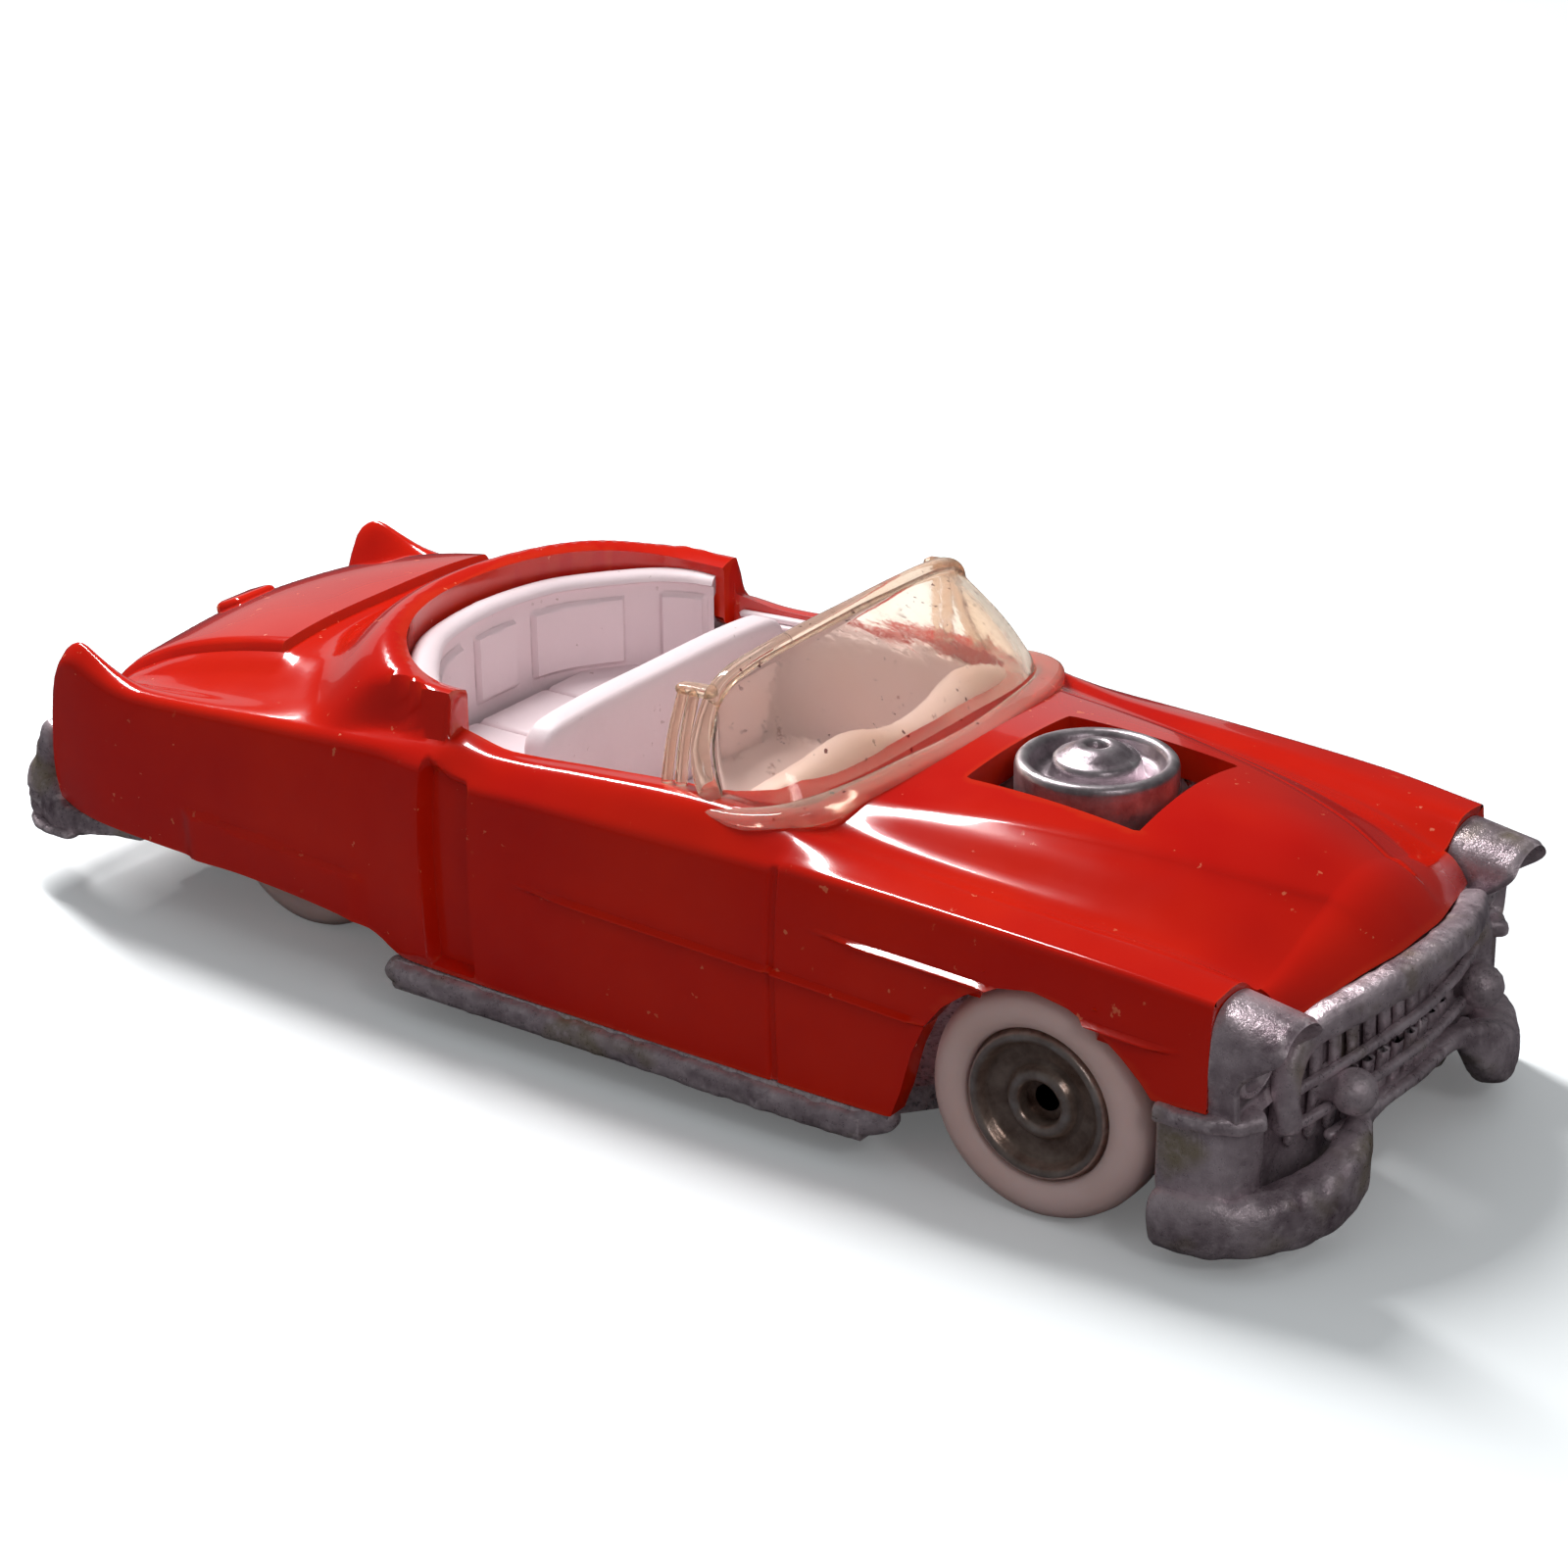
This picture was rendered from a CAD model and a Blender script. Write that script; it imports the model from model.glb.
"""Small open-top friction toy car: glossy red moulded body on a bare cast zinc base.

All shape code works in millimetres on the car's own axes (+X front, +Y left, +Z up) and scales to metres.
"""
from math import copysign, cos, pi, radians, sin, sqrt

import bmesh
import bpy
from mathutils import Matrix, Vector
from mathutils.noise import noise as lumps


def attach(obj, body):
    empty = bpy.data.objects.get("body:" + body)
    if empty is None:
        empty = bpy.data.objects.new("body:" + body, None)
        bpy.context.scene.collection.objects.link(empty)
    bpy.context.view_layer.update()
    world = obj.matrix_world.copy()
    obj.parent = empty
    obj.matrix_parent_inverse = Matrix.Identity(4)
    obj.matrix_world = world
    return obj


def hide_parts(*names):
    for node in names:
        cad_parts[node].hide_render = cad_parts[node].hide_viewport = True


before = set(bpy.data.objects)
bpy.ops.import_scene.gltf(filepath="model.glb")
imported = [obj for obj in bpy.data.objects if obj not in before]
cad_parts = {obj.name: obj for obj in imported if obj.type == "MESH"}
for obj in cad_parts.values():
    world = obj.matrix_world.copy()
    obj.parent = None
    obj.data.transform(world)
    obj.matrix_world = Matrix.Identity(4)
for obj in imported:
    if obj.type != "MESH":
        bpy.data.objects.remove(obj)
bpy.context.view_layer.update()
MM = 0.001


# ---- small helpers ----
def smooth(low, high, value):
    """0 below low, 1 above high, easing between."""
    t = min(max((value - low) / (high - low), 0.0), 1.0)
    return t * t * (3 - 2 * t)


def mix(a, b, t):
    return a + (b - a) * t


def curve(points, x):
    """Value at x of a smooth line through (x, value) points."""
    if x <= points[0][0]:
        return points[0][1]
    if x >= points[-1][0]:
        return points[-1][1]
    for i in range(len(points) - 1):
        if x <= points[i + 1][0]:
            break
    x0, y0 = points[i]
    x1, y1 = points[i + 1]
    step = x1 - x0
    before = points[i - 1] if i else (x0 - step, y0 - (y1 - y0))
    after = points[i + 2] if i + 2 < len(points) else (x1 + step, y1 + (y1 - y0))
    m0 = (y1 - before[1]) / (x1 - before[0]) * step
    m1 = (after[1] - y0) / (after[0] - x0) * step
    t = (x - x0) / step
    return ((2 * t**3 - 3 * t**2 + 1) * y0 + (t**3 - 2 * t**2 + t) * m0
            + (3 * t**2 - 2 * t**3) * y1 + (t**3 - t**2) * m1)


def finish_piece(name, bm, material, nodes=(), body="car", sharp=60):
    """Turns a bmesh in millimetres into a piece that rides on a body; sharp is the least angle of a crisp edge."""
    bmesh.ops.scale(bm, vec=(MM, MM, MM), verts=bm.verts)
    for face in bm.faces:
        face.smooth = True
    for edge in bm.edges:
        if len(edge.link_faces) == 2 and edge.calc_face_angle(0) > radians(sharp):
            edge.smooth = False
    mesh = bpy.data.meshes.new(name)
    bm.to_mesh(mesh)
    bm.free()
    piece = bpy.data.objects.new(name, mesh)
    bpy.context.scene.collection.objects.link(piece)
    mesh.materials.append(material)
    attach(piece, body)
    if nodes:
        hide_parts(*nodes)
    return piece


def soften(piece, width, segments=2, angle=35):
    """Adds a bevel modifier that rounds the sharp edges; width in millimetres."""
    bevel = piece.modifiers.new("soft edges", "BEVEL")
    bevel.width = width * MM
    bevel.segments = segments
    bevel.limit_method = "ANGLE"
    bevel.angle_limit = radians(angle)
    bevel.harden_normals = True
    return piece


def warped(nu, nv, place, close_v=False, caps=False):
    """A grid of nu by nv cells bent to place(u, v); close_v joins the two long sides, caps closes the ends."""
    bm = bmesh.new()
    bmesh.ops.create_grid(bm, x_segments=nu, y_segments=nv, size=0.5)
    cells = {}
    for vert in bm.verts:
        u, v = round((vert.co.x + 0.5) * nu), round((vert.co.y + 0.5) * nv)
        cells[vert] = (u / nu, v / nv)
    for vert, (u, v) in cells.items():
        vert.co = place(u, v)
    if close_v:
        bmesh.ops.remove_doubles(bm, verts=bm.verts, dist=1e-5)
    if caps:
        rim = [edge for edge in bm.edges if edge.is_boundary]
        bmesh.ops.holes_fill(bm, edges=rim, sides=0)
    bmesh.ops.recalc_face_normals(bm, faces=bm.faces)
    return bm


def turned(profile, centre, axis, steps=64):
    """A shape spun about a line through centre; profile is (along axis, radius) in millimetres."""
    bm = bmesh.new()
    axis = Vector(axis)
    across = Vector((0, 0, 1)) if abs(axis.z) < 0.5 else Vector((1, 0, 0))
    verts = [bm.verts.new(Vector(centre) + axis * along + across * radius) for along, radius in profile]
    edges = [bm.edges.new((a, b)) for a, b in zip(verts, verts[1:])]
    bmesh.ops.spin(bm, geom=verts + edges, cent=centre, axis=axis, angle=2 * pi, steps=steps, use_merge=True)
    bmesh.ops.remove_doubles(bm, verts=bm.verts, dist=1e-4)
    bmesh.ops.recalc_face_normals(bm, faces=bm.faces)
    return bm


def bar(stations, power=3.0, steps=80, around=28, ends=0.5, rough=0.0):
    """A rounded bar through stations (x, y, z, width, height); ends is how far the tips take to close."""
    lengths = [0.0]
    for first, second in zip(stations, stations[1:]):
        lengths.append(lengths[-1] + (Vector(second[:3]) - Vector(first[:3])).length)
    total = lengths[-1]
    lines = [[(s, station[k]) for s, station in zip(lengths, stations)] for k in range(5)]

    def place(u, v):
        s = u * total
        x, y, z, width, height = [curve(line, s) for line in lines]
        tangent = Vector([curve(line, min(s + 0.05, total)) - curve(line, max(s - 0.05, 0.0)) for line in lines[:3]])
        out = tangent.cross(Vector((0, 0, 1))).normalized()
        up = out.cross(tangent).normalized()
        near = min(s, total - s) / ends if ends else 1.0
        close = sqrt(max(0.0, 1 - (1 - min(near, 1.0))**2)) if ends else 1.0
        c, k = cos(2 * pi * v), sin(2 * pi * v)
        spot = (Vector((x, y, z)) + out * (width / 2 * close * copysign(abs(c)**(2 / power), c))
                + up * (height / 2 * close * copysign(abs(k)**(2 / power), k)))
        if rough and 0 < u < 1:
            spot += (spot - Vector((x, y, z))) * rough * lumps(spot * 1.3)
        return spot

    return warped(steps, around, place, close_v=True, caps=not ends)


def both_sides(make):
    """A piece's right-hand shape and its mirror image in one bmesh."""
    bm = make()
    bmesh.ops.mirror(bm, geom=bm.verts[:] + bm.edges[:] + bm.faces[:], axis="Y", merge_dist=1e-6)
    bmesh.ops.recalc_face_normals(bm, faces=bm.faces)
    return bm


def block(centre, size, bevel=0.0, segments=2):
    """A box with rounded edges, in millimetres."""
    bm = bmesh.new()
    bmesh.ops.create_cube(bm, size=1.0)
    bmesh.ops.scale(bm, vec=size, verts=bm.verts)
    bmesh.ops.translate(bm, vec=centre, verts=bm.verts)
    if bevel:
        bmesh.ops.bevel(bm, geom=bm.edges[:], offset=bevel, affect="EDGES", segments=segments, profile=0.5,
                        material=-1)
    return bm


def join(*parts):
    """One bmesh out of several."""
    whole = parts[0]
    for part in parts[1:]:
        mesh = bpy.data.meshes.new("spare")
        part.to_mesh(mesh)
        part.free()
        whole.from_mesh(mesh)
        bpy.data.meshes.remove(mesh)
    return whole


# ---- materials ----
def socket(group, name, kind, value=None, side="INPUT"):
    made = group.interface.new_socket(name=name, in_out=side, socket_type=kind)
    if value is not None:
        made.default_value = value


def link(tree, out, into):
    tree.links.new(out, into)


def noise(tree, coords, scale, detail=3.0, rough=0.55):
    node = tree.nodes.new("ShaderNodeTexNoise")
    node.inputs["Scale"].default_value = scale
    node.inputs["Detail"].default_value = detail
    node.inputs["Roughness"].default_value = rough
    link(tree, coords, node.inputs["Vector"])
    return node.outputs["Fac"]


def ramp(tree, value, low, high):
    """0 at low and 1 at high; low may be above high."""
    node = tree.nodes.new("ShaderNodeMapRange")
    node.inputs["From Min"].default_value = low
    node.inputs["From Max"].default_value = high
    link(tree, value, node.inputs["Value"])
    return node.outputs["Result"]


def maths(tree, kind, a, b):
    node = tree.nodes.new("ShaderNodeMath")
    node.operation = kind
    node.use_clamp = kind in ("ADD", "SUBTRACT")
    for into, part in zip(node.inputs, (a, b)):
        if isinstance(part, (int, float)):
            into.default_value = part
        else:
            link(tree, part, into)
    return node.outputs["Value"]


def blend_colour(tree, factor, first, second):
    node = tree.nodes.new("ShaderNodeMix")
    node.data_type = "RGBA"
    colours_in = [into for into in node.inputs if into.type == "RGBA"]
    for into, part in zip([node.inputs[0], *colours_in], (factor, first, second)):
        if isinstance(part, tuple):
            into.default_value = (*part, 1.0)
        else:
            link(tree, part, into)
    return [out for out in node.outputs if out.type == "RGBA"][0]


def scaled(tree, value, factor, plus):
    return maths(tree, "ADD", maths(tree, "MULTIPLY", value, factor), plus)


def layered(tree, colour, *layers):
    """Lays colours over a first one, each through its mask at its own strength."""
    for mask, strength, over in layers:
        colour = blend_colour(tree, maths(tree, "MULTIPLY", mask, strength), colour, over)
    return colour


def surface(tree, shader, colour, rough, height, depth, strength):
    """Joins a colour, a roughness and a bump of some depth to the material's shader."""
    node = tree.nodes.new("ShaderNodeBump")
    node.inputs["Strength"].default_value = strength
    node.inputs["Distance"].default_value = depth
    link(tree, height, node.inputs["Height"])
    for out, name in ((colour, "Base Color"), (rough, "Roughness"), (node.outputs["Normal"], "Normal")):
        link(tree, out, shader.inputs[name])


def edge_wear_group():
    """Masks for rubbed edges and for dirt in hollows, broken up by noise."""
    group = bpy.data.node_groups.new("edge wear and grime", "ShaderNodeTree")
    socket(group, "Vector", "NodeSocketVector")
    socket(group, "Break Up Scale", "NodeSocketFloat", 1200.0)
    socket(group, "Edge Start", "NodeSocketFloat", 0.53)
    socket(group, "Edge Full", "NodeSocketFloat", 0.6)
    socket(group, "Edge", "NodeSocketFloat", side="OUTPUT")
    socket(group, "Grime", "NodeSocketFloat", side="OUTPUT")
    into, out = group.nodes.new("NodeGroupInput"), group.nodes.new("NodeGroupOutput")
    shape = group.nodes.new("ShaderNodeNewGeometry")
    grain = group.nodes.new("ShaderNodeTexNoise")
    grain.inputs["Detail"].default_value = 4.0
    link(group, into.outputs["Vector"], grain.inputs["Vector"])
    link(group, into.outputs["Break Up Scale"], grain.inputs["Scale"])
    wobble = maths(group, "MULTIPLY", maths(group, "SUBTRACT", grain.outputs["Fac"], 0.5), 0.16)
    point = maths(group, "ADD", shape.outputs["Pointiness"], wobble)
    edge = group.nodes.new("ShaderNodeMapRange")
    link(group, point, edge.inputs["Value"])
    link(group, into.outputs["Edge Start"], edge.inputs["From Min"])
    link(group, into.outputs["Edge Full"], edge.inputs["From Max"])
    link(group, edge.outputs["Result"], out.inputs["Edge"])
    hollow = ramp(group, shape.outputs["Pointiness"], 0.475, 0.40)
    grime = maths(group, "MULTIPLY", hollow, ramp(group, grain.outputs["Fac"], 0.3, 0.6))
    link(group, grime, out.inputs["Grime"])
    return group


def fleck_group():
    """Small scattered marks: scratches and chips where two noises peak together."""
    group = bpy.data.node_groups.new("flecks and scratches", "ShaderNodeTree")
    socket(group, "Vector", "NodeSocketVector")
    socket(group, "Size", "NodeSocketFloat", 900.0)
    socket(group, "Amount", "NodeSocketFloat", 0.3)
    socket(group, "Flecks", "NodeSocketFloat", side="OUTPUT")
    into, out = group.nodes.new("NodeGroupInput"), group.nodes.new("NodeGroupOutput")
    fine = group.nodes.new("ShaderNodeTexNoise")
    fine.inputs["Detail"].default_value = 6.0
    patch = group.nodes.new("ShaderNodeTexNoise")
    patch.inputs["Detail"].default_value = 2.0
    for node in (fine, patch):
        link(group, into.outputs["Vector"], node.inputs["Vector"])
    link(group, into.outputs["Size"], fine.inputs["Scale"])
    link(group, maths(group, "MULTIPLY", into.outputs["Size"], 0.16), patch.inputs["Scale"])
    level = maths(group, "SUBTRACT", 0.78, maths(group, "MULTIPLY", into.outputs["Amount"], 0.2))
    dots = ramp(group, maths(group, "SUBTRACT", fine.outputs["Fac"], level), 0.0, 0.02)
    link(group, maths(group, "MULTIPLY", dots, ramp(group, patch.outputs["Fac"], 0.5, 0.58)), out.inputs["Flecks"])
    return group


EDGE_WEAR = edge_wear_group()
FLECKS = fleck_group()


def use_group(tree, group, coords, **values):
    node = tree.nodes.new("ShaderNodeGroup")
    node.node_tree = group
    link(tree, coords, node.inputs["Vector"])
    for name, value in values.items():
        node.inputs[name.replace("_", " ")].default_value = value
    return node


def new_material(name, **settings):
    """A material with its shader's plain sockets set, and the object coordinates to hang patterns on."""
    material = bpy.data.materials.new(name)
    material.use_nodes = True
    tree = material.node_tree
    shader = tree.nodes["Principled BSDF"]
    for key, value in settings.items():
        shader.inputs[key.replace("_", " ")].default_value = value
    coords = tree.nodes.new("ShaderNodeTexCoord").outputs["Object"]
    return material, tree, shader, coords


def red_plastic():
    material, tree, shader, coords = new_material("glossy red plastic", IOR=1.48, Coat_Weight=0.7,
                                                  Coat_Roughness=0.03)
    cloudy = noise(tree, coords, 90.0)
    wear = use_group(tree, EDGE_WEAR, coords, Break_Up_Scale=1600.0, Edge_Start=0.62, Edge_Full=0.74)
    flecks = use_group(tree, FLECKS, coords, Size=1700.0, Amount=0.5).outputs["Flecks"]
    colour = blend_colour(tree, ramp(tree, cloudy, 0.3, 0.7), (0.58, 0.005, 0.0012), (0.71, 0.016, 0.002))
    colour = layered(tree, colour, (wear.outputs["Edge"], 0.1, (0.92, 0.12, 0.02)), (flecks, 0.5, (0.9, 0.25, 0.10)),
                     (wear.outputs["Grime"], 0.55, (0.12, 0.0, 0.0)))
    rough = scaled(tree, flecks, 0.3, scaled(tree, noise(tree, coords, 300.0, 4.0), 0.12, 0.09))
    skin = scaled(tree, noise(tree, coords, 200.0, 1.0), 0.8,
                  maths(tree, "MULTIPLY", noise(tree, coords, 3500.0, 1.0), 0.03))
    surface(tree, shader, colour, rough, skin, 0.00005, 0.35)
    return material


def zinc():
    material, tree, shader, coords = new_material("bare cast zinc", Metallic=0.6)
    wear = use_group(tree, EDGE_WEAR, coords, Break_Up_Scale=2200.0, Edge_Start=0.505, Edge_Full=0.575)
    pits = noise(tree, coords, 2800.0, 5.0, 0.7)
    stain = noise(tree, coords, 380.0, 4.0, 0.6)
    tarnish = ramp(tree, noise(tree, coords, 260.0, 2.0), 0.56, 0.7)
    bright = maths(tree, "MULTIPLY", wear.outputs["Edge"], ramp(tree, pits, 0.3, 0.6))
    colour = blend_colour(tree, ramp(tree, stain, 0.3, 0.7), (0.22, 0.15, 0.18), (0.78, 0.64, 0.69))
    colour = layered(tree, colour, (tarnish, 0.7, (0.36, 0.29, 0.13)),
                     (wear.outputs["Grime"], 0.92, (0.03, 0.018, 0.024)), (bright, 1.0, (0.92, 0.78, 0.82)))
    height = scaled(tree, pits, 0.5, maths(tree, "MULTIPLY", stain, 0.5))
    surface(tree, shader, colour, scaled(tree, pits, 0.34, 0.14), height, 0.00016, 0.85)
    return material


def white_plastic():
    material, tree, shader, coords = new_material("off-white interior plastic", IOR=1.46)
    wear = use_group(tree, EDGE_WEAR, coords, Break_Up_Scale=700.0, Edge_Start=0.6, Edge_Full=0.7)
    flecks = use_group(tree, FLECKS, coords, Size=2000.0, Amount=0.5).outputs["Flecks"]
    colour = blend_colour(tree, noise(tree, coords, 120.0, 3.0), (0.82, 0.66, 0.69), (0.92, 0.78, 0.80))
    colour = layered(tree, colour, (wear.outputs["Grime"], 1.0, (0.22, 0.13, 0.12)), (flecks, 0.5, (0.3, 0.17, 0.13)))
    rough = scaled(tree, noise(tree, coords, 900.0, 4.0), 0.25, 0.35)
    surface(tree, shader, colour, rough, noise(tree, coords, 3000.0, 4.0), 0.00004, 0.4)
    return material


def amber_plastic(name, clear, thin, thick):
    """Yellowed clear plastic; clear is how much light goes through."""
    material, tree, shader, coords = new_material(name, IOR=1.4, Transmission_Weight=clear)
    flecks = use_group(tree, FLECKS, coords, Size=2100.0, Amount=0.6).outputs["Flecks"]
    haze = noise(tree, coords, 170.0, 4.0)
    dark = ramp(tree, noise(tree, coords, 520.0, 5.0, 0.7), 0.66, 0.72)
    colour = blend_colour(tree, ramp(tree, haze, 0.3, 0.7), thick, thin)
    colour = layered(tree, colour, (dark, 0.7, (0.30, 0.10, 0.05)), (flecks, 1.0, (0.10, 0.03, 0.03)))
    scratches = ramp(tree, noise(tree, coords, 1800.0, 6.0, 0.8), 0.45, 0.7)
    surface(tree, shader, colour, scaled(tree, scratches, 0.16, 0.04), noise(tree, coords, 300.0, 4.0), 0.00008, 0.4)
    return material


def white_vinyl():
    material, tree, shader, coords = new_material("translucent white vinyl", IOR=1.46, Subsurface_Weight=0.35,
                                                  Subsurface_Scale=0.0012)
    shader.inputs["Subsurface Radius"].default_value = (1.0, 0.5, 0.35)
    wear = use_group(tree, EDGE_WEAR, coords, Break_Up_Scale=500.0, Edge_Start=0.6, Edge_Full=0.7)
    colour = blend_colour(tree, noise(tree, coords, 200.0, 4.0), (0.62, 0.40, 0.35), (0.78, 0.58, 0.57))
    colour = layered(tree, colour, (wear.outputs["Grime"], 0.7, (0.35, 0.17, 0.10)))
    rough = scaled(tree, noise(tree, coords, 700.0), 0.25, 0.3)
    surface(tree, shader, colour, rough, noise(tree, coords, 1500.0, 4.0), 0.00005, 0.4)
    return material


def turned_metal(name, dark, light, rough=0.2, dirt=(0.05, 0.03, 0.03)):
    """Bright worked metal with fine tool marks, stains and dirt in its hollows."""
    material, tree, shader, coords = new_material(name, Metallic=0.82)
    wear = use_group(tree, EDGE_WEAR, coords, Break_Up_Scale=1500.0, Edge_Start=0.52, Edge_Full=0.6)
    stain = noise(tree, coords, 700.0, 5.0, 0.65)
    colour = blend_colour(tree, ramp(tree, stain, 0.35, 0.65), dark, light)
    colour = layered(tree, colour, (wear.outputs["Edge"], 0.6, (0.9, 0.86, 0.86)), (wear.outputs["Grime"], 1.0, dirt))
    surface(tree, shader, colour, scaled(tree, stain, 0.25, rough), noise(tree, coords, 2500.0, 4.0), 0.00005, 0.5)
    return material


RED = red_plastic()
ZINC = zinc()
WHITE = white_plastic()
AMBER = amber_plastic("yellowed clear plastic", 0.93, (1.0, 0.90, 0.80), (0.98, 0.80, 0.64))
AMBER_EDGE = amber_plastic("yellowed thick plastic", 0.8, (1.0, 0.84, 0.70), (0.92, 0.66, 0.48))
VINYL = white_vinyl()
FLYWHEEL_STEEL = turned_metal("turned flywheel steel", (0.30, 0.23, 0.26), (0.62, 0.53, 0.57), 0.24)
HUB_METAL = turned_metal("spun hub metal", (0.30, 0.19, 0.15), (0.60, 0.45, 0.38), dirt=(0.05, 0.015, 0.01))
PLAIN_STEEL = turned_metal("plain steel", (0.42, 0.40, 0.40), (0.62, 0.60, 0.60))
CUT_BRASS = turned_metal("cut brass", (0.55, 0.36, 0.13), (0.78, 0.58, 0.27), dirt=(0.08, 0.04, 0.02))

# ---- body shell ----
SILL_Z = [(-33.6, 4.9), (-32, 4.6), (-24, 4.5), (-20, 4.6), (-14, 4.3), (-11.8, 3.8), (-10.4, 3.1), (-9, 2.97),
          (32, 2.97)]
SILL_Y = [(-33.6, 11.2), (-30, 11.9), (-20, 12.35), (-9, 12.75), (3, 12.9), (16, 12.85), (32, 12.2)]
SIDE_Y = [(-33.6, 11.5), (-30, 12.1), (-24, 12.4), (-12, 12.9), (-5, 13.1), (8, 13.12), (20, 12.95), (27, 12.75),
          (31.8, 12.4)]
CREST_Y = [(-33.6, 11.3), (-32.5, 11.55), (-30, 11.8), (-24, 12.05), (-18, 12.3), (-8.4, 12.6), (-5, 12.85),
           (8, 12.85), (12, 12.62), (20, 12.5), (27, 12.35), (31.8, 12.05)]
CREST_Z = [(-33.6, 9.0), (-33.45, 10.6), (-33.1, 11.8), (-32.4, 12.55), (-31.5, 12.75), (-30.4, 12.45), (-29, 12.1),
           (-27.2, 12.0), (-18.3, 12.7), (-8.4, 13.3), (-7.0, 12.7), (-2, 12.75), (10.7, 12.95), (11.5, 13.1),
           (20, 12.95), (27, 12.65), (31.8, 12.2)]
# inner edge of the wing's rounded top; round the doors it is the outer edge of the rim
RIDGE_Y = [(-33.6, 10.5), (-32, 10.7), (-30, 10.9), (-27, 11.2), (-18, 11.75), (-10, 11.9), (-5.5, 11.65), (0, 11.6),
           (6.7, 11.6), (10, 11.3), (14, 11.0), (20, 10.8), (27, 10.3), (31.8, 9.9)]
RIDGE_Z = [(-33.6, 8.9), (-33.4, 10.6), (-33.0, 12.2), (-32.4, 13.0), (-31.6, 13.3), (-30.6, 12.95), (-29, 12.35),
           (-27.2, 12.1), (-18, 12.95), (-10, 13.65), (-8.4, 13.8), (-5, 13.75), (0, 14.1), (4.7, 14.4), (8, 14.35),
           (11.5, 13.85), (14, 13.55), (20, 13.2), (27, 12.75), (31.8, 12.25)]
VALLEY_Y = [(-33.6, 9.3), (-30, 9.6), (-24, 10.1), (-14, 10.7), (-9, 10.55), (-5, 10.7), (0, 10.5), (5, 10.25),
            (8.5, 9.9), (14, 9.5), (24, 9.0), (31.8, 8.25)]
VALLEY_Z = [(-33.6, 8.8), (-32, 10.4), (-30, 11.1), (-27, 11.8), (-20, 13.0), (-14, 13.9), (-8.4, 14.3), (-5, 13.9),
            (0, 14.2), (5, 14.5), (8.5, 14.5), (12, 13.9), (17, 13.35), (24, 12.7), (29, 12.1), (31.8, 11.3)]
SHOULDER_Y = [(-33.6, 6.4), (-24, 7.2), (-14, 7.6), (8, 7.6), (14, 7.2), (20, 6.6), (26, 5.6), (29, 4.8), (31.8, 3.9)]
SHOULDER_Z = [(-33.6, 8.9), (-32.4, 10.3), (-31, 11.3), (-28, 12.6), (-24, 13.6), (-20, 14.2), (-14, 14.6), (8, 14.9),
              (12, 14.75), (17, 14.6), (24, 14.1), (29, 13.35), (31.8, 12.6)]
CENTRE_Z = [(-33.6, 9.0), (-32.4, 10.7), (-31, 11.85), (-28, 13.15), (-24, 14.05), (-20, 14.5), (-14, 14.8),
            (8, 15.25), (12, 15.3), (19, 15.25), (24, 15.0), (29, 14.3), (31.8, 13.35)]
WALL = 0.85
WELL_X, WELL_LONG, WELL_HALF_W = -9.0, 7.2, 9.8      # the rounded back end of the cockpit
BAR_X = [(0, 34.85), (2, 34.75), (4, 34.3), (6, 33.75), (8.3, 33.0)]
BAR_Z = [(0, 11.25), (4, 11.0), (8.3, 10.05)]


def boot_lid(x, y):
    """Height of the boot lid panel above the tail, with soft stepped edges."""
    side, front = smooth(7.76, 7.52, y), smooth(-21.15, -21.34, x)
    return 0.42 * side * front + 0.15 * smooth(8.9, 8.3, y) * smooth(-20.5, -20.8, x)


def hood_well(x, y, z):
    """Lifts the surface round the back of the cockpit to the folded hood's rolled edge."""
    if x > -7.8 or x < -21.5:
        return z
    if x < WELL_X:
        ring = sqrt(((x - WELL_X) / WELL_LONG)**2 + (y / WELL_HALF_W)**2)
        if ring < 0.2:
            return z
        away = (ring - 1) * sqrt((x - WELL_X)**2 + y * y) / ring
    else:
        away = y - WELL_HALF_W
    back = smooth(-10.5, -15.8, x)
    reach = mix(1.85, 4.6, back)
    rim_z = mix(16.05, 16.75, smooth(-9, -16, x))
    blend = mix(1 - smooth(0.6, 1.0, away / reach), 1 - smooth(0.1, 1.0, away / reach), back)
    blend *= smooth(-7.85, -8.15, x)
    return mix(z, rim_z - 0.25 * smooth(0.7, 0.0, max(away, 0.0)), blend)


def top_z(x, y):
    """Height of the upper surface at x and half-width y."""
    nodes = [(0.0, curve(CENTRE_Z, x)), (curve(SHOULDER_Y, x), curve(SHOULDER_Z, x)),
             (curve(VALLEY_Y, x), curve(VALLEY_Z, x)), (curve(RIDGE_Y, x), curve(RIDGE_Z, x)),
             (curve(CREST_Y, x), curve(CREST_Z, x))]
    mirrored = [(-nodes[1][0], nodes[1][1])] + nodes
    z = curve(mirrored, y)
    # the bonnet's raised middle, its edges drawing in towards the nose
    edge = panel_edge(x)
    z += 0.2 * smooth(edge + 0.5, edge - 0.4, y) * smooth(12, 20, x)
    z += boot_lid(x, y)
    return hood_well(x, y, z)


def pressed_line(line, z):
    """A raised crease: a slow swell from above, a narrow bright ledge, then sharp underneath."""
    swell = 0.04 * smooth(line + 1.4, line + 0.3, z) + 0.34 * smooth(line + 0.19, line + 0.03, z)
    return swell * smooth(line - 0.22, line, z)


DOOR_LINE = [(-4, 8.75), (11, 8.3), (19.5, 7.9)]
WING_LINE = [(12.5, 10.75), (22, 10.35), (30, 9.75)]


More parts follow.
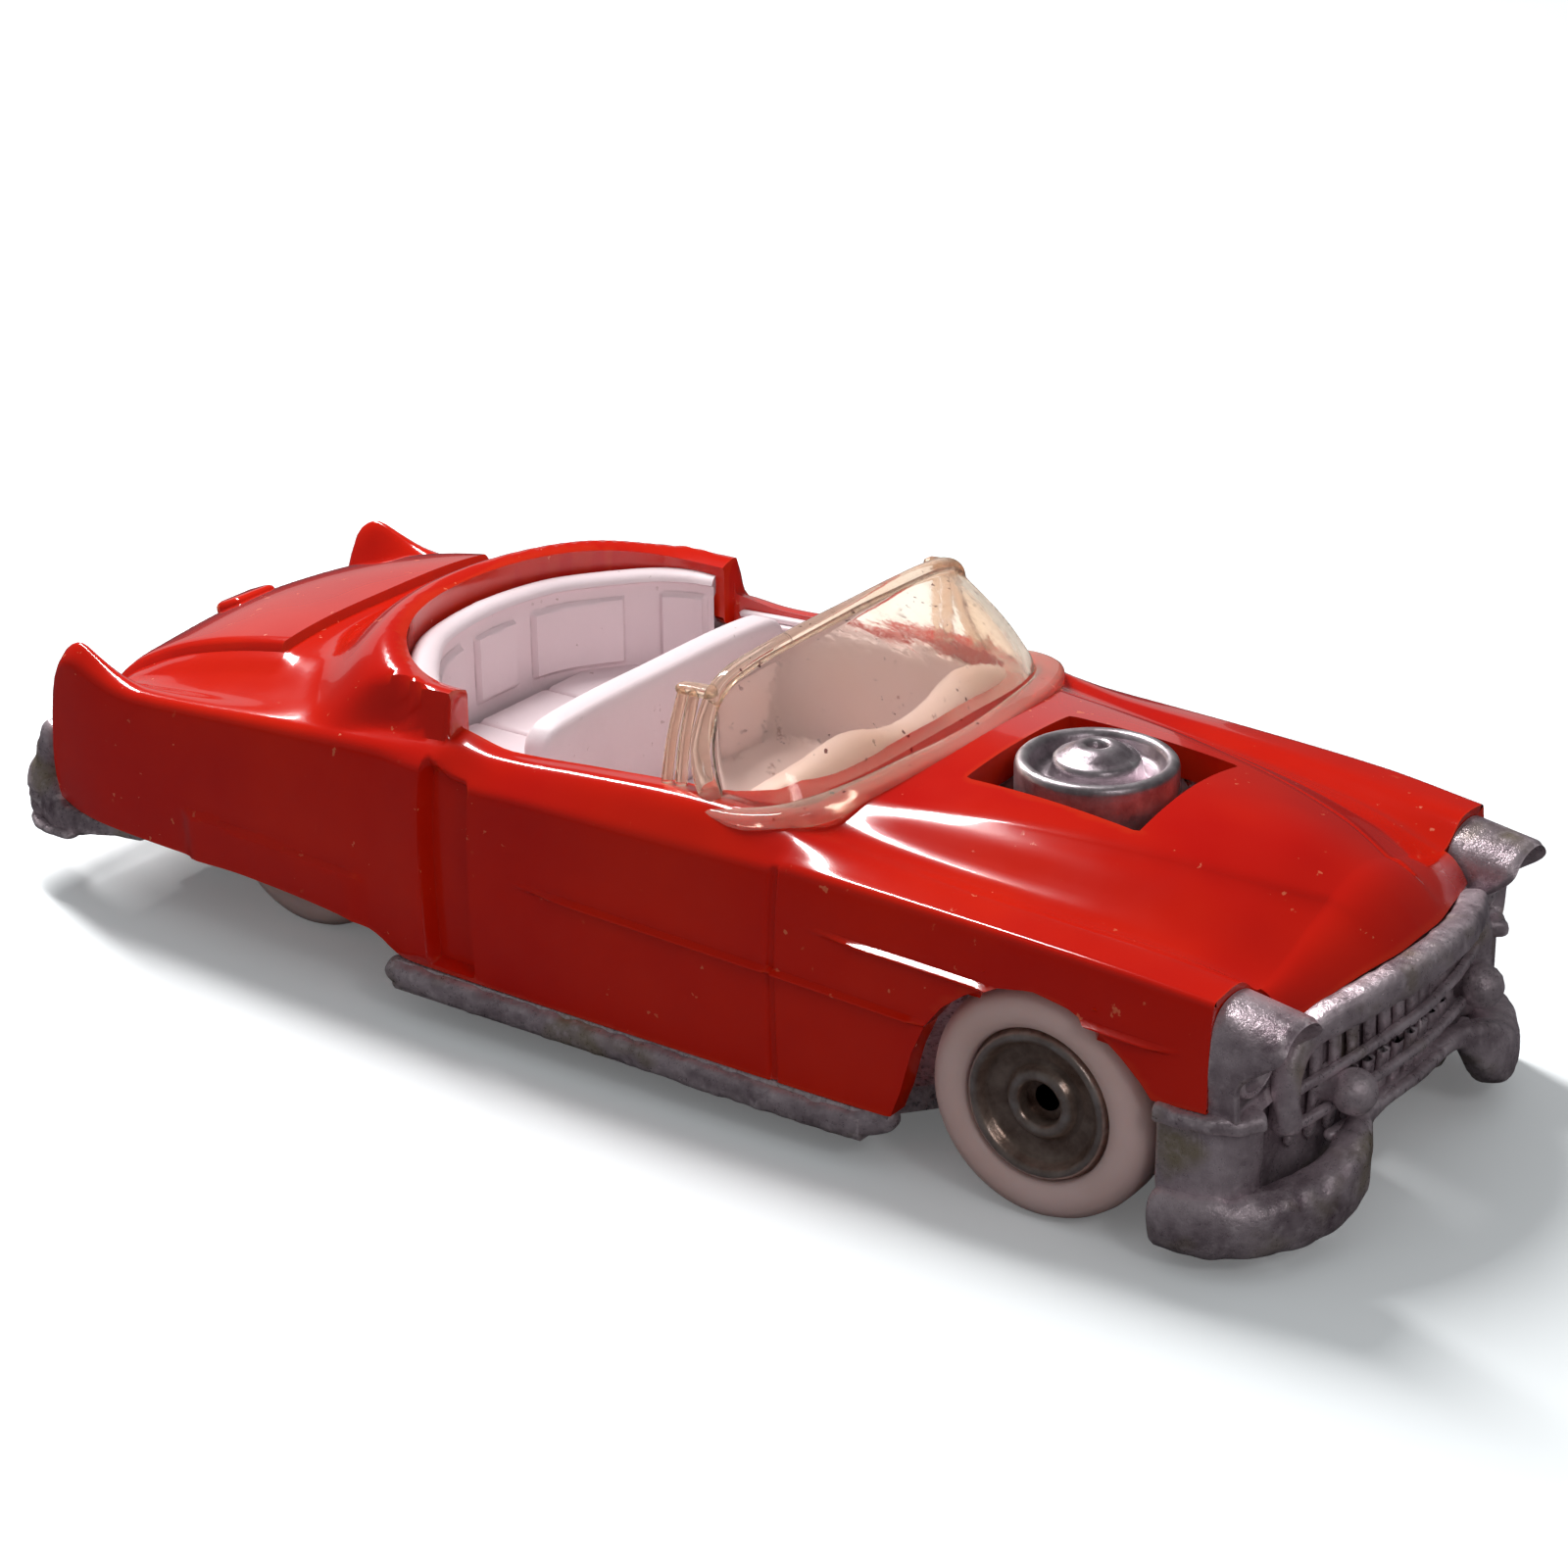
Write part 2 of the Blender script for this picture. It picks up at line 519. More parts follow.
def side_offset(x, z):
    """What the pressed lines, the scoop and the shut lines add to the side's half-width."""
    out = 0.0
    # line along the door and the front wing, sharp underneath
    line = curve(DOOR_LINE, x)
    strength = smooth(-3.5, 0.5, x) * smooth(19.2, 17.8, x)
    out += strength * pressed_line(line, z)
    # line along the front wing above the wheel
    line = curve(WING_LINE, x)
    strength = smooth(12.5, 16, x) * smooth(30.5, 29, x)
    out += 0.9 * strength * pressed_line(line, z)
    # raised panel low on the rear quarter
    line = curve([(-23.6, 7.0), (-13, 6.55)], x)
    out += 0.3 * smooth(-24.2, -23.4, x) * smooth(-12.2, -13.2, x) * smooth(line + 0.14, line - 0.1, z)
    # upright scoop between the rear wing and the door
    if z > 3.2:
        out -= 0.62 * smooth(-8.55, -8.25, x) * smooth(-5.7, -6.1, x) * smooth(13.2, 12.7, z)
        out += 0.16 * smooth(-11.5, -8.6, x) * smooth(-8.3, -8.6, x)
    # shut line at the front of the door
    out -= 0.16 * smooth(10.72, 10.86, x) * smooth(11.2, 11.06, x)
    return out


def side_y(x, z):
    """Half-width of the car's side at x and height z."""
    low, high = curve(SILL_Z, x), curve(CREST_Z, x)
    sill, wide, crest = curve(SILL_Y, x), curve(SIDE_Y, x), curve(CREST_Y, x)
    middle = min(8.4, low + 0.55 * (high - low))
    if z < middle:
        t = (z - low) / (middle - low)
        y = mix(sill, wide, 1 - (1 - max(t, 0.0))**2)
    else:
        t = (z - middle) / max(high - middle, 0.1)
        y = mix(wide, crest, t**2.6)
    return y + side_offset(x, z)


COLUMNS = [-33.6, -33.5, -33.35, -33.15, -32.9, -32.6]
for lowest, highest, step in ((-32.3, -21.9, 0.35), (-21.6, -20.9, 0.12), (-20.6, -8.9, 0.42), (-8.65, -7.7, 0.1),
                              (-7.4, -6.3, 0.3), (-6.15, -5.6, 0.12), (-5.3, 10.5, 0.5), (10.68, 11.3, 0.08),
                              (11.6, 14.8, 0.34), (15.0, 31.5, 0.42), (31.62, 31.8, 0.09)):
    count = max(1, round((highest - lowest) / step))
    COLUMNS += [lowest + (highest - lowest) * i / count for i in range(count + 1)]
NOSE_STEPS, NOSE_REACH = 12, 2.5
SIDE_ROWS = 64
SIDE_BANDS = (24, 12, 8, 12, 8)  # rows from the sill up: below, along and above each of the two pressed lines
ROUND_ROWS = 4
TOP_ROWS = (6, 6, 7, 2, 16)      # from the crest to the ridge, valley, panel edge, panel and centre


def crest_round(x):
    """How far the rounding of the crest reaches down the side and in along the top."""
    ahead = smooth(-8.3, -7.9, x)
    return mix(0.42, 0.28, ahead), mix(0.36, 0.26, ahead)


def side_point(x, row):
    """Place of one of the side's rows, which run close together along the pressed lines."""
    low = curve(SILL_Z, x)
    tall = curve(CREST_Z, x) - crest_round(x)[0] - low
    door = min(max((curve(DOOR_LINE, x) - low) / tall, 0.45), 0.62)
    wing = min(max((curve(WING_LINE, x) - low) / tall, 0.7), 0.84)
    below, above = 0.3 / tall, 0.42 / tall
    marks = (0.0, door - below, door + above, wing - below, wing + above, 1.0)
    for first, second, rows in zip(marks, marks[1:], SIDE_BANDS):
        if row <= rows:
            break
        row -= rows
    z = low + tall * mix(first, second, row / rows)
    return x, side_y(x, z), z


def panel_edge(x):
    """Half-width of the boot lid behind the cockpit, and of the bonnet's raised middle ahead of it."""
    return curve([(-33.6, 7.6), (-9, 7.6), (8, 7.9), (14, 7.3), (20, 6.3), (26, 4.9), (30, 3.6), (33, 2.0)], x)


def body_point(column, row):
    """Place of one grid point on the right-hand half, columns from the tail, rows from the sill up."""
    nose = max(0, column - (len(COLUMNS) - 1)) / NOSE_STEPS
    x = COLUMNS[min(column, len(COLUMNS) - 1)]
    if row <= SIDE_ROWS:
        x, y, z = side_point(x, row)
        return Vector((x + NOSE_REACH * nose, -y, z))
    crest_y, crest_z = curve(CREST_Y, x), curve(CREST_Z, x)
    start_y = crest_y - crest_round(x)[1]
    done = row - SIDE_ROWS
    if done < ROUND_ROWS:
        # rounded crest: a bent line from the side's last point to the top's first
        first, last = side_point(x, SIDE_ROWS), (x, start_y, top_z(x, start_y))
        t = done / ROUND_ROWS
        y = (1 - t)**2 * first[1] + 2 * t * (1 - t) * crest_y + t * t * last[1]
        z = (1 - t)**2 * first[2] + 2 * t * (1 - t) * crest_z + t * t * last[2]
        return Vector((x + NOSE_REACH * nose, -y, z))
    done -= ROUND_ROWS
    edge = panel_edge(x)
    lines = [start_y, curve(RIDGE_Y, x), curve(VALLEY_Y, x), edge + 0.16, edge - 0.12, 0.0]
    for first, second, rows in zip(lines, lines[1:], TOP_ROWS):
        if done <= rows:
            y = mix(first, second, done / rows)
            break
        done -= rows
    z = top_z(x, y)
    if nose:
        z = mix(z, curve(BAR_Z, y), 0.25 * nose + 0.75 * nose**2.1)
        x = mix(x, curve(BAR_X, y), nose)
    return Vector((x, -y, z))


COCKPIT = [(WELL_X - WELL_LONG * cos(pi / 2 * k / 24), WELL_HALF_W * sin(pi / 2 * k / 24)) for k in range(25)]
COCKPIT += [(-8.05, 9.8), (-8.0, 10.5), (-5, 10.7), (0, 10.5), (5, 10.25), (7.2, 9.9), (8.6, 9.0), (9.7, 6.5),
            (10.4, 3.5), (10.6, 0.0)]
SLOT = [(15.1, 0.0), (15.1, 4.2), (15.25, 4.3), (23.55, 4.3), (23.7, 4.2), (23.7, 0.0)]
ARCH = [(15.0, 0.0), (15.6, 1.2), (16.2, 2.0), (16.9, 2.8), (17.5, 4.3), (18.1, 6.4), (18.75, 7.85), (19.6, 8.95),
        (20.75, 9.85), (22.1, 10.5), (23.8, 10.8), (25.5, 10.5), (26.85, 9.85), (28.0, 8.95), (28.9, 8.05),
        (29.4, 7.4), (40.0, 7.4), (40.0, 0.0)]


def inside(outline, a, b):
    """Whether a point is inside a closed outline."""
    found = False
    for (a0, b0), (a1, b1) in zip(outline, outline[1:] + outline[:1]):
        if (b0 > b) != (b1 > b) and a < (a1 - a0) * (b - b0) / (b1 - b0) + a0:
            found = not found
    return found


def nearest(line, a, b):
    """Nearest point of a line of points."""
    best = None
    for (a0, b0), (a1, b1) in zip(line, line[1:]):
        da, db = a1 - a0, b1 - b0
        t = min(max(((a - a0) * da + (b - b0) * db) / (da * da + db * db), 0.0), 1.0)
        p = (a0 + t * da, b0 + t * db)
        gap = (p[0] - a)**2 + (p[1] - b)**2
        if best is None or gap < best[0]:
            best = (gap, p)
    return best[1]


def cut_opening(bm, outline, upper, wall):
    """Removes the faces inside an outline, pulls the cut edge on to it and turns a wall in along it."""
    def flat(co):
        return (co.x, abs(co.y)) if upper else (co.x, co.z)

    gone = []
    for face in bm.faces:
        centre = face.calc_center_median()
        is_upper = face[LAYER_TOP] == 1
        if is_upper == upper and inside(outline, *flat(centre)):
            gone.append(face)
    before = {edge for edge in bm.edges if edge.is_boundary}
    bmesh.ops.delete(bm, geom=gone, context="FACES")
    fresh = [edge for edge in bm.edges if edge.is_boundary and edge not in before]
    verts = {vert for edge in fresh for vert in edge.verts}
    for vert in verts:
        if upper and abs(vert.co.y) < 1e-6:
            x, _ = nearest(outline, vert.co.x, 0.0)
            vert.co = (x, 0.0, top_z(x, 0.0))
            continue
        a, b = nearest(outline, *flat(vert.co))
        sign = 1 if vert.co.y > 0 else -1
        if upper:
            vert.co = (a, sign * b, top_z(a, b))
        else:
            vert.co = (a, sign * side_y(a, b), b)
    made = bmesh.ops.extrude_edge_only(bm, edges=fresh)
    for vert in made["geom"]:
        if isinstance(vert, bmesh.types.BMVert):
            wall(vert)


def deepen(depth):
    """A wall that drops straight down by depth."""
    def move(vert):
        vert.co.z -= depth
    return move


def turn_in(vert, lip=1.1):
    """The lip that turns in round a wheel arch."""
    vert.co.y -= copysign(lip, vert.co.y)


bm = bmesh.new()
last_column, last_row = len(COLUMNS) - 1 + NOSE_STEPS, SIDE_ROWS + ROUND_ROWS + sum(TOP_ROWS)
bmesh.ops.create_grid(bm, x_segments=last_column, y_segments=last_row, size=0.5)
LAYER_TOP = bm.faces.layers.int.new("upper")
LAYER_DROP = bm.faces.layers.int.new("drop")
cells = {vert: (round((vert.co.x + 0.5) * last_column), round((vert.co.y + 0.5) * last_row)) for vert in bm.verts}
valley_row = SIDE_ROWS + ROUND_ROWS + TOP_ROWS[0] + TOP_ROWS[1]
for face in bm.faces:
    rows = [cells[vert][1] for vert in face.verts]
    columns = [cells[vert][0] for vert in face.verts]
    face[LAYER_TOP] = 1 if min(rows) >= SIDE_ROWS else 0
    face[LAYER_DROP] = 1 if max(columns) > len(COLUMNS) - 1 and min(rows) < valley_row else 0
for vert, (column, row) in cells.items():
    vert.co = body_point(column, row)
bmesh.ops.delete(bm, geom=[face for face in bm.faces if face[LAYER_DROP]], context="FACES")
bmesh.ops.mirror(bm, geom=bm.verts[:] + bm.edges[:] + bm.faces[:], axis="Y", merge_dist=1e-4)
bmesh.ops.recalc_face_normals(bm, faces=bm.faces)
cut_opening(bm, COCKPIT, True, deepen(2.6))
cut_opening(bm, SLOT, True, deepen(1.5))
cut_opening(bm, ARCH, False, turn_in)
tail = [edge for edge in bm.edges if edge.is_boundary and all(vert.co.x < -33.55 for vert in edge.verts)]
bmesh.ops.contextual_create(bm, geom=tail)
bmesh.ops.recalc_face_normals(bm, faces=bm.faces)
body = finish_piece("body_shell_moulding", bm, RED, ("body_shell",), sharp=40)
thick = body.modifiers.new("wall", "SOLIDIFY")
thick.thickness = WALL * MM
thick.offset = -1
soften(body, 0.13, 2, 42)

# ---- boot lid handle ----
handle = block((-30.9, 0, 12.25), (1.9, 3.0, 1.1), 0.4, 3)
bmesh.ops.rotate(handle, cent=(-30.9, 0, 12.2), matrix=Matrix.Rotation(radians(-22), 3, "Y"), verts=handle.verts)
finish_piece("boot_lid_handle", handle, RED)

# ---- windscreen ----
GLASS_FOOT = [(12.5, 0, 14.7), (12.2, 4, 14.7), (11.5, 7.4, 14.5), (10.2, 9.9, 14.2), (8.6, 10.9, 14.0),
              (7.2, 11.0, 14.0)]
GLASS_HEAD = [(6.5, 0, 19.9), (6.35, 4, 19.75), (6.1, 6.8, 19.5), (5.9, 8.6, 19.1), (5.9, 9.4, 18.7),
              (5.95, 9.75, 18.3)]


def on_line(points, share, side=1):
    """A point along a line given for one half of the car."""
    steps = len(points) - 1
    x, y, z = [curve([(i / steps, p[k]) for i, p in enumerate(points)], share) for k in range(3)]
    return Vector((x, side * y, z))


def glass_point(u, v):
    share, side = abs(2 * u - 1), 1 if u > 0.5 else -1
    foot, head = on_line(GLASS_FOOT, share, side), on_line(GLASS_HEAD, share, side)
    spot = foot.lerp(head, v)
    spot.x += sin(pi * v) * (0.75 * (1 - share**2) - 0.5 * share**6)
    spot.z += sin(pi * v) * 0.35 * (1 - share**2)
    return spot


glass = finish_piece("windscreen_pane", warped(64, 22, glass_point), AMBER, ("windshield",))
glass_wall = glass.modifiers.new("wall", "SOLIDIFY")
glass_wall.thickness = 0.55 * MM
glass_wall.offset = -1


def mirrored_run(half):
    """Stations given from the middle outwards, run from one side to the other."""
    return [(s[0], -s[1], *s[2:]) for s in reversed(half[1:])] + list(half)


RIM = [(6.35, 0, 19.85, 0.85, 0.7), (6.2, 4, 19.75, 0.85, 0.7), (5.95, 6.8, 19.5, 0.85, 0.7),
       (5.7, 8.6, 19.1, 0.85, 0.75), (5.6, 9.5, 18.5, 0.85, 0.75), (5.45, 10.0, 17.4, 0.85, 0.75),
       (5.5, 10.45, 16.2, 0.85, 0.8), (6.0, 10.8, 15.0, 0.9, 0.85), (6.8, 11.0, 14.2, 1.0, 0.9)]
rim = bar(mirrored_run(RIM), 2.4, 150, 20, ends=0.4)
finish_piece("windscreen_rim", rim, AMBER_EDGE, sharp=70)
FLANGE = [(12.75, 0, 14.95, 1.5, 0.9), (12.4, 4.2, 14.9, 1.5, 0.9), (11.7, 7.5, 14.65, 1.5, 0.95),
          (10.4, 10.1, 14.3, 1.5, 1.0), (8.8, 11.2, 14.0, 1.4, 1.1), (7.0, 11.35, 13.85, 1.2, 1.0),
          (5.0, 11.15, 13.8, 0.9, 0.8), (3.6, 10.9, 13.75, 0.7, 0.7)]
finish_piece("windscreen_foot_flange", bar(mirrored_run(FLANGE), 3.2, 150, 20, ends=0.5), AMBER_EDGE, sharp=70)


def posts():
    near = bar([(4.5, 10.65, 13.8, 0.5, 0.55), (4.55, 10.3, 16.4, 0.45, 0.5), (4.75, 9.75, 18.75, 0.45, 0.5)],
               3.0, 26, 14, ends=0.15)
    far = bar([(3.75, 10.7, 13.8, 0.45, 0.5), (3.9, 10.35, 16.4, 0.4, 0.45), (4.2, 9.8, 18.75, 0.4, 0.45)],
              3.0, 26, 14, ends=0.15)
    cap = bar([(3.75, 9.75, 18.6, 0.7, 0.45), (4.7, 9.65, 18.65, 0.8, 0.5), (5.7, 9.45, 18.6, 0.8, 0.55)],
              3.0, 24, 16, ends=0.3)
    return join(near, far, cap)


finish_piece("windscreen_posts", both_sides(posts), AMBER_EDGE, sharp=70)

# ---- interior ----
# half plan of the rear seat back's face: share of the way round, x, half-width
BACK_PLAN = [(0.0, -8.5, 9.3), (0.12, -9.7, 9.0), (0.28, -11.2, 8.0), (0.42, -12.9, 5.9), (0.55, -13.9, 4.2),
             (0.75, -14.35, 2.1), (1.0, -14.45, 0.0)]
BACK_LOW, BACK_THICK, BACK_ROUND, HALF_ROUND_THE_BACK = 9.8, 1.5, 0.55, 15.2
BACK_FACE, BACK_ROLL = 0.72, 0.916                   # how far up the section the face ends, and the roll


def plan_point(share):
    return Vector([curve([(station[0], station[k]) for station in BACK_PLAN], share) for k in (1, 2)])


def back_point(u, v):
    """Rear seat back: up the cushioned face, over the rounded top and down behind; u runs round the plan."""
    share, side = 1 - abs(2 * u - 1), -1 if u < 0.5 else 1
    ahead = plan_point(min(share + 0.02, 1.0)) - plan_point(max(share - 0.02, 0.0))
    outward = Vector((ahead.y, -ahead.x)).normalized()
    roll_z = 15.35 + 0.25 * share - BACK_ROUND
    if v < BACK_FACE:
        t = v / BACK_FACE
        z = mix(BACK_LOW, roll_z, t)
        arc = HALF_ROUND_THE_BACK * (1 - share)      # distance round from the middle
        middle = smooth(2.75, 2.6, arc)
        wing = smooth(4.6, 4.75, arc) * smooth(9.9, 9.75, arc)
        last = smooth(11.4, 11.55, arc) * smooth(14.6, 14.5, arc)
        out = 0.25 + 0.03 * t - 0.3 * max(middle, wing, last) * smooth(10.85, 11.0, z) * smooth(14.35, 14.2, z)
    elif v < BACK_ROLL:
        turn = (v - BACK_FACE) / (BACK_ROLL - BACK_FACE) * pi
        out = 0.025 + BACK_THICK / 2 * (1 - cos(turn))
        z = roll_z + BACK_ROUND * sin(turn)
    else:
        out = 0.025 + BACK_THICK
        z = mix(roll_z, BACK_LOW, (v - BACK_ROLL) / (1 - BACK_ROLL))
    spot = plan_point(share) + outward * out
    return Vector((spot.x, spot.y * side, z))


rear_back = warped(240, 64, back_point)
back_rim = [edge for edge in rear_back.edges if edge.is_boundary]
bmesh.ops.contextual_create(rear_back, geom=back_rim)
bmesh.ops.recalc_face_normals(rear_back, faces=rear_back.faces)
finish_piece("rear_seat_back", rear_back, WHITE, ("interior_tub",), sharp=50)


def cushions(centre, size, count, bevel):
    """A bench cushion with shallow seams between its places."""
    width = size[1] / count
    return join(*[block((centre[0], centre[1] - size[1] / 2 + width * (i + 0.5), centre[2]),
                        (size[0], width - 0.05, size[2]), bevel, 3) for i in range(count)])


finish_piece("rear_seat_cushion", cushions((-10.9, 0, 9.7), (5.8, 15.6, 1.9), 3, 0.35), WHITE)
finish_piece("front_seat_cushion", cushions((-0.9, 0, 7.9), (6.2, 17.4, 1.6), 2, 0.4), WHITE)
BENCH = [(-4.75, -8.9, 11.0, 1.75, 5.9), (-4.75, -7.6, 11.4, 1.9, 6.3), (-4.75, 0, 11.5, 1.9, 6.4),
         (-4.75, 7.6, 11.4, 1.9, 6.3), (-4.75, 8.9, 11.0, 1.75, 5.9)]
finish_piece("front_seat_back", bar(BENCH, 5.0, 90, 40, ends=1.3), WHITE)


def trims():
    door = bar([(-7.4, 10.0, 8.9, 0.55, 9.0), (-6.2, 10.15, 8.9, 0.55, 8.9), (0, 10.1, 9.1, 0.55, 9.0),
                (5, 9.95, 9.3, 0.55, 9.0), (9.4, 9.4, 9.3, 0.55, 8.7)], 8.0, 60, 36, ends=0.25)
    strip = bar([(-7.6, 10.35, 13.45, 0.5, 0.35), (-3, 10.5, 13.6, 0.5, 0.35), (4, 10.1, 13.9, 0.5, 0.35)],
                2.6, 50, 14, ends=0.3)
    return join(door, strip)


finish_piece("door_trims", both_sides(trims), WHITE)
pan = join(block((-11.2, 0, 5.6), (7.0, 17.0, 1.2), 0.2), block((-1.2, 0, 4.6), (13.4, 19.4, 0.8), 0.2),
           block((3.5, 0, 5.9), (10.0, 3.0, 2.2), 0.9, 4))
finish_piece("cockpit_floor_pan", pan, WHITE)
DASH = [(9.5, 0, 14.2, 2.3, 1.6), (9.45, 2.2, 14.35, 2.3, 1.8), (9.25, 4.6, 14.7, 2.3, 2.2),
        (8.8, 6.8, 14.3, 2.3, 1.9), (7.9, 8.4, 13.8, 2.2, 1.5), (7.0, 9.3, 13.3, 1.8, 1.3)]
finish_piece("dashboard_roll", bar(mirrored_run(DASH), 2.4, 120, 26, ends=0.8), WHITE)
finish_piece("dashboard_panel", block((9.7, 0, 9.2), (0.9, 19.3, 8.4), 0.3, 3), WHITE)

# ---- front bumper, grille and lamps ----
NOSE_ROLL = [(34.6, 0, 4.75, 0.9, 0.8), (34.6, 2.5, 4.75, 0.9, 0.8), (34.75, 4.4, 4.7, 1.0, 1.0),
             (35.1, 5.7, 4.1, 1.5, 2.0), (35.2, 6.8, 3.2, 1.9, 2.6), (34.9, 8.0, 2.55, 2.1, 2.8),
             (34.1, 9.7, 2.3, 2.2, 2.8), (32.9, 11.3, 2.25, 2.3, 2.8), (31.3, 12.0, 2.25, 2.3, 2.8),
             (29.3, 12.1, 2.25, 2.1, 2.7)]
finish_piece("front_bumper_roll", bar(mirrored_run(NOSE_ROLL), 2.8, 190, 30, ends=0.5, rough=0.09), ZINC,
             ("front_bumper",))


def bumper_end():
    wall = bar([(30.8, 9.2, 5.0, 1.3, 4.2), (32.3, 9.9, 5.0, 1.3, 4.2), (32.7, 10.8, 5.0, 1.3, 4.2),
                (32.1, 11.5, 5.0, 1.3, 4.2), (31.0, 11.75, 5.0, 1.3, 4.2), (29.4, 11.8, 5.0, 1.3, 4.2)], 6.0, 90, 30,
               ends=0.3, rough=0.05)
    ledge = bar([(33.1, 10.3, 6.95, 1.9, 0.8), (32.5, 11.2, 6.95, 2.0, 0.85), (31.2, 11.8, 6.95, 2.1, 0.9),
                 (29.4, 11.85, 7.0, 2.1, 0.95)], 3.4, 60, 22, ends=0.35, rough=0.14)
    return join(wall, ledge)


finish_piece("front_bumper_ends", both_sides(bumper_end), ZINC)
GRILLE_BAR = [(35.45, 0, 10.55, 1.5, 1.45), (35.3, 2.4, 10.5, 1.5, 1.45), (34.75, 4.6, 10.25, 1.5, 1.4),
              (34.0, 6.5, 9.9, 1.45, 1.35), (33.5, 7.7, 9.4, 1.35, 1.3), (33.35, 8.4, 8.5, 1.25, 1.3),
              (33.4, 8.7, 7.2, 1.2, 1.3), (33.5, 8.8, 5.4, 1.2, 1.3)]
finish_piece("grille_top_bar", bar(mirrored_run(GRILLE_BAR), 3.0, 190, 26, ends=0.5, rough=0.08), ZINC)


def grille_line(y):
    """How far forward the grille's teeth stand at half-width y."""
    return curve([(0, 34.75), (3, 34.5), (6, 33.9), (9, 33.0)], abs(y))


def thin_bar(height, forward, size, reach):
    """A bar across the grille, dipping a little towards its ends."""
    half = [(grille_line(y) + forward, y, height - 0.0105 * y * y, size, size)
            for y in (0, reach * 0.25, reach * 0.5, reach * 0.75, reach)]
    return bar(mirrored_run(half), 3.0, 110, 14, ends=0.3, rough=0.08)


teeth = []
for i in range(15):
    y = -7.7 + 1.1 * i
    teeth.append(bar([(grille_line(y) - 0.3, y, 4.2, 0.7, 0.36), (grille_line(y) - 0.1, y, 7.0, 0.7, 0.4),
                      (grille_line(y) - 0.3, y, 10.2, 0.7, 0.36)], 3.0, 16, 12, ends=0.2, rough=0.08))
grille = join(thin_bar(7.9, 0.35, 0.42, 8.4), thin_bar(6.35, 0.45, 0.42, 8.4), thin_bar(4.9, 0.4, 0.5, 6.5), *teeth)
finish_piece("grille_teeth", grille, ZINC)
backing = [(grille_line(y) - 0.75, y, z, 0.7, height) for y, z, height in
           ((0, 7.3, 5.6), (3, 7.2, 5.7), (4.6, 7.0, 6.2), (6, 6.3, 7.6), (8, 5.9, 8.2), (9.6, 5.8, 8.2))]
finish_piece("grille_backing", bar(mirrored_run(backing), 6.0, 90, 30, ends=0.3, rough=0.03), ZINC)


def guard():
    """A round-nosed bumper guard on a short waisted stem."""
    profile = [(-1.4, 0.0), (-1.4, 0.9), (-1.1, 0.8), (-0.75, 0.72), (-0.55, 0.8), (-0.3, 0.95), (0.05, 1.0),
               (0.4, 0.92), (0.7, 0.72), (0.9, 0.42), (1.0, 0.0)]
    return turned(profile, (35.05, -5.9, 6.6), (1, 0, 0), 40)


finish_piece("bumper_guards", both_sides(guard), ZINC)
LAMP_RING = [(8.55, 7.15), (8.5, 8.3), (8.45, 9.5), (8.5, 10.5), (8.75, 11.25), (9.3, 11.75), (10.1, 11.98),
             (10.9, 11.98), (11.6, 11.75), (12.1, 11.2), (12.3, 10.3), (12.38, 9.2), (12.3, 8.2), (12.15, 7.2),
             (11.6, 6.95), (10.4, 6.9), (9.2, 6.95)]


def lamp_hood():
    ring = [(i / len(LAMP_RING), y, z) for i, (y, z) in enumerate(LAMP_RING)]
    ring.append((1.0, *LAMP_RING[0]))

    def place(u, v):
        y, z = curve([(s, y) for s, y, _ in ring], v), curve([(s, z) for s, _, z in ring], v)
        visor = smooth(8.6, 11.4, z)
        reach = mix(33.15, 35.0, visor)
        tip = smooth(0.9, 1.0, u)
        y, z = mix(y, 10.4, 0.09 * tip), mix(z, 9.4, 0.05 * tip)
        return Vector((mix(31.8, reach, u), -y, z - 0.5 * u * visor))

    bm = warped(26, 68, place, close_v=True)
    front = [edge for edge in bm.edges if edge.is_boundary and edge.verts[0].co.x > 32.5]
    face = bmesh.ops.contextual_create(bm, geom=front)["faces"]
    bmesh.ops.inset_region(bm, faces=face, thickness=0.45, use_even_offset=True)
    for vert in face[0].verts:
        vert.co.x -= mix(0.55, 1.2, smooth(8.6, 11.4, vert.co.z))
    rear = [edge for edge in bm.edges if edge.is_boundary]
    bmesh.ops.contextual_create(bm, geom=rear)
    bmesh.ops.recalc_face_normals(bm, faces=bm.faces)
    return bm


soften(finish_piece("headlamp_hoods", both_sides(lamp_hood), ZINC, sharp=45), 0.16, 3, 40)


def lamp_glass():
    profile = [(-0.4, 0.0), (-0.4, 1.5), (0.0, 1.55), (0.22, 1.45), (0.25, 1.3), (0.12, 1.2), (0.3, 0.9), (0.45, 0.5),
               (0.5, 0.0)]
    return turned(profile, (33.05, -10.4, 9.15), (1, 0, -0.12), 40)


finish_piece("headlamp_lenses", both_sides(lamp_glass), ZINC)

# ---- rear bumper ----
TAIL_ROLL = [(-35.5, 0, 4.9, 1.5, 2.4), (-35.6, 4.5, 4.9, 1.5, 2.4), (-35.5, 8.2, 4.7, 1.7, 2.6),
             (-34.9, 10.1, 4.4, 2.0, 2.9), (-33.5, 11.1, 3.9, 1.5, 1.9), (-31.8, 11.35, 4.0, 1.0, 1.2),
             (-29.8, 11.35, 4.25, 0.8, 0.9), (-27.6, 11.4, 4.4, 0.6, 0.7)]
finish_piece("rear_bumper_blade", bar(mirrored_run(TAIL_ROLL), 2.8, 190, 28, ends=0.5, rough=0.1), ZINC,
             ("rear_bumper",))


